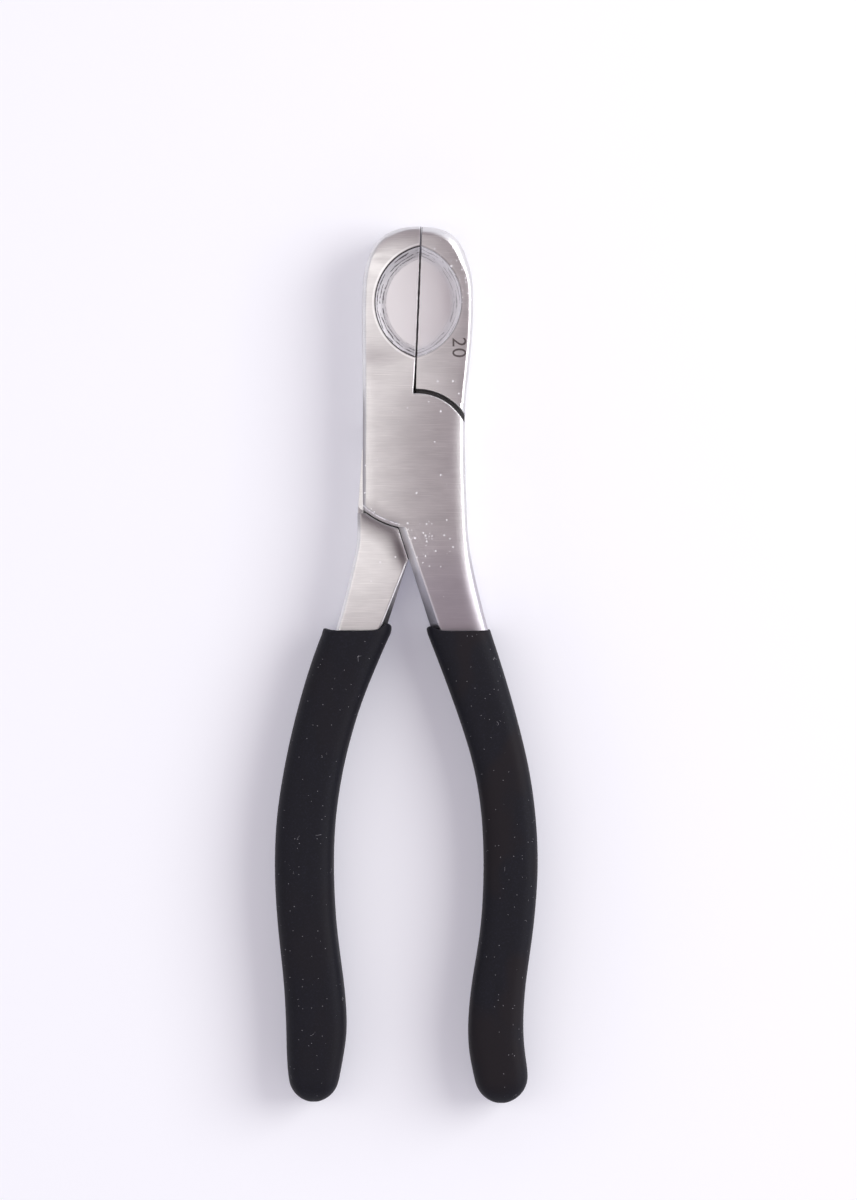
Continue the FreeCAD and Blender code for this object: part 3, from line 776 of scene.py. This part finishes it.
class SleeveSettings(bpy.types.PropertyGroup):
    colour: FloatVectorProperty(
        name="Vinyl colour", description="Colour of the dipped vinyl",
        default=(0.0050, 0.0049, 0.0086), min=0.0, max=1.0, subtype="COLOR")
    roughness: FloatProperty(
        name="Roughness", description="Roughness of the vinyl",
        default=0.62, min=0.05, max=1.0, subtype="FACTOR")
    thickness: FloatProperty(
        name="Thickness", description="Height of a sleeve off the table",
        default=0.012, min=0.006, max=0.03, unit="LENGTH")
    end_round: FloatProperty(
        name="End rounding", description="Rounding of a sleeve's upper and lower edges at its end",
        default=0.0034, min=0.001, max=0.006, unit="LENGTH")
    skin_depth: FloatProperty(
        name="Skin depth", description="Depth of the vinyl's fine skin in millimetres",
        default=0.012, min=0.0, max=0.2)
    dust_spacing: FloatProperty(
        name="Dust spacing", description="Distance between dust specks in millimetres",
        default=0.85, min=0.2, max=20.0)
    dust_size: FloatProperty(
        name="Dust size", description="Radius of a dust speck in millimetres",
        default=0.065, min=0.01, max=1.0)
    dust_strength: FloatProperty(
        name="Dust strength", description="How pale the dust is",
        default=0.6, min=0.0, max=1.0, subtype="FACTOR")


class MarkSettings(bpy.types.PropertyGroup):
    colour: FloatVectorProperty(
        name="Mark colour", description="Colour of the etched size marks",
        default=(0.055, 0.045, 0.045), min=0.0, max=1.0, subtype="COLOR")
    height: FloatProperty(
        name="Mark height", description="Height of a digit",
        default=0.0026, min=0.0005, max=0.01, unit="LENGTH")


class StageSettings(bpy.types.PropertyGroup):
    floor_colour: FloatVectorProperty(
        name="Table colour", description="Colour of the table",
        default=(0.99, 1.0, 0.99), min=0.0, max=1.0, subtype="COLOR")
    shade_colour: FloatVectorProperty(
        name="Shade colour", description="Colour that the table shows in its shadows",
        default=(0.78, 0.765, 1.0), min=0.0, max=1.0, subtype="COLOR")
    floor_glow: FloatProperty(
        name="Table glow", description="How far the table shows its own colour, seen directly",
        default=0.2, min=0.0, max=1.0, subtype="FACTOR")
    floor_size: FloatProperty(
        name="Table size", description="Length of the table's sides",
        default=6.0, min=0.5, max=50.0, unit="LENGTH")
    camera_height: FloatProperty(
        name="Camera height", description="Height of the camera over the front face",
        default=0.9, min=0.2, max=5.0, unit="LENGTH")
    view_height: FloatProperty(
        name="View height", description="Height of the view at the front face",
        default=0.2182, min=0.02, max=2.0, unit="LENGTH")


class PLIERS_OT_steel(bpy.types.Operator):
    """Give the two halves and the rivet their brushed steel"""
    bl_idname = "pliers.steel"
    bl_label = "Dress Steel"

    def execute(self, context):
        settings = context.scene.pliers_steel
        dress("front_half", brushed_steel("front half steel", settings, -1))
        dress("back_half", brushed_steel("back half steel", settings, 1))
        dress("pivot_rivet", brushed_steel("rivet steel", settings, -1))
        return {"FINISHED"}


class PLIERS_OT_sleeves(bpy.types.Operator):
    """Model the two dipped sleeves on the handles"""
    bl_idname = "pliers.sleeves"
    bl_label = "Model Sleeves"

    def execute(self, context):
        settings = context.scene.pliers_sleeve
        vinyl = dipped_vinyl("black vinyl", settings)
        for name, sleeve in SLEEVES.items():
            made = self.sleeve(name, sleeve, settings, vinyl)
            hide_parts(sleeve["node"])
            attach(made, sleeve["body"])
        return {"FINISHED"}

    def sleeve(self, name, sleeve, settings, vinyl):
        """One sleeve: rings from its mouth to its round end, its lip, and a slight unevenness."""
        rings = sleeve_rings(sleeve, settings)
        bm = bmesh.new()
        mouth = bmesh.ops.create_circle(bm, segments=SLEEVE_SIDES, radius=1.0)["verts"]
        edges, verts = list(bm.edges), mouth
        move_ring(mouth, rings[0])
        for ring in rings[1:]:
            edges, verts = extruded_ring(bm, edges, verts[0].co)
            move_ring(verts, ring)
        bmesh.ops.contextual_create(bm, geom=edges)
        self.lip(bm, mouth, rings[0], sleeve)
        bmesh.ops.recalc_face_normals(bm, faces=bm.faces)
        noise.seed_set(UNEVEN_SEED)
        for vert in bm.verts:
            place = vert.co * UNEVEN_SCALE + Vector((3.1, 1.7, sleeve["side"] * 5.0))
            vert.co += noise.noise_vector(place) * UNEVEN_HEIGHT
        to_frame = Matrix.Translation((PIVOT.x, PIVOT.y, 0)) @ Matrix.Scale(MM, 4)
        bmesh.ops.transform(bm, matrix=to_frame, verts=bm.verts)
        for face in bm.faces:
            face.smooth = True
        made = object_from(bm, name, vinyl)
        smooth = made.modifiers.new("Smooth skin", "SUBSURF")
        smooth.levels = smooth.render_levels = 2
        return made

    def lip(self, bm, mouth, ring, sleeve):
        """Turn the lip in to the steel and close it, with its lump beside the inner corner."""
        x, y, half_width, half_height = ring
        edges = [edge for edge in bm.edges
                 if len(edge.link_faces) == 1 and all(vert in mouth for vert in edge.verts)]
        rows = [mouth]
        for outward, up, narrower, lower in LIP_RINGS:
            edges, verts = extruded_ring(bm, edges, rows[-1][0].co)
            move_ring(verts, (x + sleeve["side"] * outward, y + up, half_width - narrower,
                              half_height - lower))
            rows.append(verts)
        bmesh.ops.contextual_create(bm, geom=edges)
        for verts in rows[:-1]:
            for vert in verts:
                self.raise_lip(vert, x, half_width, sleeve)

    def raise_lip(self, vert, middle_x, half_width, sleeve):
        """Lift the lip where the dip ran down at the inner corner, and let it sag between."""
        inward = -sleeve["side"] * (vert.co.x - middle_x) / half_width
        lump = sum(height * math.exp(-((inward - middle) / width) ** 2)
                   for height, middle, width in LIP_LUMPS)
        vert.co.y += sleeve["lump"] * lump - LIP_SAG * max(0.0, 1 - inward ** 2)


class PLIERS_OT_marks(bpy.types.Operator):
    """Etch the plain size numbers beside the two pockets"""
    bl_idname = "pliers.marks"
    bl_label = "Etch Size Marks"

    def execute(self, context):
        settings = context.scene.pliers_mark
        oxide = etched_mark("etched oxide", settings)
        for name, (digits, (x, y), on_back) in MARKS.items():
            place = Matrix.Translation(at(x, y, 0.0 if on_back else FACE_Z))
            place = place @ Matrix.Rotation(-math.pi / 2, 4, "Z")
            if on_back:
                place = place @ Matrix.Rotation(math.pi, 4, "Y")
            made = self.mark(name, digits, place, settings, oxide)
            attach(made, "back_side")
        return {"FINISHED"}

    def mark(self, name, digits, place, settings, oxide):
        """One mark: digits turned to a mesh and laid on the steel."""
        curve = bpy.data.curves.new(name, "FONT")
        curve.body = digits
        curve.size = settings.height / DIGIT_SHARE
        curve.extrude = MARK_THICKNESS
        curve.space_character = DIGIT_SPACING
        text = linked(name + "_text", curve)
        bpy.context.view_layer.update()
        mesh = bpy.data.meshes.new_from_object(
            text.evaluated_get(bpy.context.evaluated_depsgraph_get()))
        bpy.data.objects.remove(text)
        mesh.name = name
        mesh.transform(place)
        mesh.materials.clear()
        mesh.materials.append(oxide)
        return linked(name, mesh)


class PLIERS_OT_stage(bpy.types.Operator):
    """Set the table, the soft lights and the camera"""
    bl_idname = "pliers.stage"
    bl_label = "Set Stage"

    def execute(self, context):
        settings = context.scene.pliers_stage
        bm = bmesh.new()
        bmesh.ops.create_grid(bm, x_segments=1, y_segments=1, size=settings.floor_size / 2)
        floor = object_from(bm, "table", pale_table("pale table", settings))
        self.sky(context)
        for name, lamp in LAMPS.items():
            self.lamp(name, *lamp)
        self.camera(context, settings)
        context.scene.view_settings.view_transform = "Standard"
        return {"FINISHED"}

    def lamp(self, name, place, size, power, tint):
        light = bpy.data.lights.new(name, "AREA")
        light.shape = "RECTANGLE"
        light.size, light.size_y = size
        light.energy = power
        light.color = tint
        made = linked(name, light)
        made.location = place
        made.rotation_euler = (-Vector(place)).to_track_quat("-Z", "Y").to_euler()
        made.visible_camera = False

    def sky(self, context):
        """Pale near the horizon and greyer overhead, darkest a little to the left."""
        world = bpy.data.worlds.new("soft room")
        context.scene.world = world
        nodes = Nodes(world)
        direction = nodes.node("TexCoord").outputs["Generated"]
        height = nodes.node("VectorMath", operation="DOT_PRODUCT", inputs={
            0: direction, 1: Vector(SKY_TOP).normalized()}).outputs["Value"]
        shade = nodes.mix(nodes.ramp(height, *SKY_STEP), SKY_LOW_COLOUR, SKY_HIGH_COLOUR)
        background = nodes.node("Background", inputs={"Color": shade})
        nodes.node("OutputWorld", inputs={"Surface": background.outputs[0]})

    def camera(self, context, settings):
        """Straight over the tool, framed as the photograph is."""
        data = bpy.data.cameras.new("camera")
        data.sensor_fit = "VERTICAL"
        data.sensor_height = SENSOR_HEIGHT
        data.lens = SENSOR_HEIGHT * settings.camera_height / settings.view_height
        data.clip_start, data.clip_end = 0.01, 50.0
        made = linked("camera", data)
        made.location = at(*VIEW_MIDDLE, FACE_Z) + Vector((0, 0, settings.camera_height))
        context.scene.camera = made


class PLIERS_PT_panel(bpy.types.Panel):
    """The steps that dress the pliers, in order"""
    bl_idname = "PLIERS_PT_panel"
    bl_label = "Decapper Pliers"
    bl_space_type = "VIEW_3D"
    bl_region_type = "UI"
    bl_category = "Pliers"

    def draw(self, context):
        for group, operator in STEPS:
            box = self.layout.box()
            settings = getattr(context.scene, group)
            for name in settings.__annotations__:
                box.prop(settings, name)
            box.operator(operator.bl_idname)


STEPS = (
    ("pliers_steel", PLIERS_OT_steel),
    ("pliers_sleeve", PLIERS_OT_sleeves),
    ("pliers_mark", PLIERS_OT_marks),
    ("pliers_stage", PLIERS_OT_stage),
)
GROUPS = {
    "pliers_steel": SteelSettings,
    "pliers_sleeve": SleeveSettings,
    "pliers_mark": MarkSettings,
    "pliers_stage": StageSettings,
}


def register():
    for name, group in GROUPS.items():
        bpy.utils.register_class(group)
        setattr(bpy.types.Scene, name, PointerProperty(type=group))
    for _, operator in STEPS:
        bpy.utils.register_class(operator)
    bpy.utils.register_class(PLIERS_PT_panel)


def unregister():
    bpy.utils.unregister_class(PLIERS_PT_panel)
    for _, operator in reversed(STEPS):
        bpy.utils.unregister_class(operator)
    for name, group in GROUPS.items():
        delattr(bpy.types.Scene, name)
        bpy.utils.unregister_class(group)


def main():
    register()
    bpy.ops.pliers.steel()
    bpy.ops.pliers.sleeves()
    bpy.ops.pliers.marks()
    bpy.ops.pliers.stage()


if __name__ == "__main__":
    main()
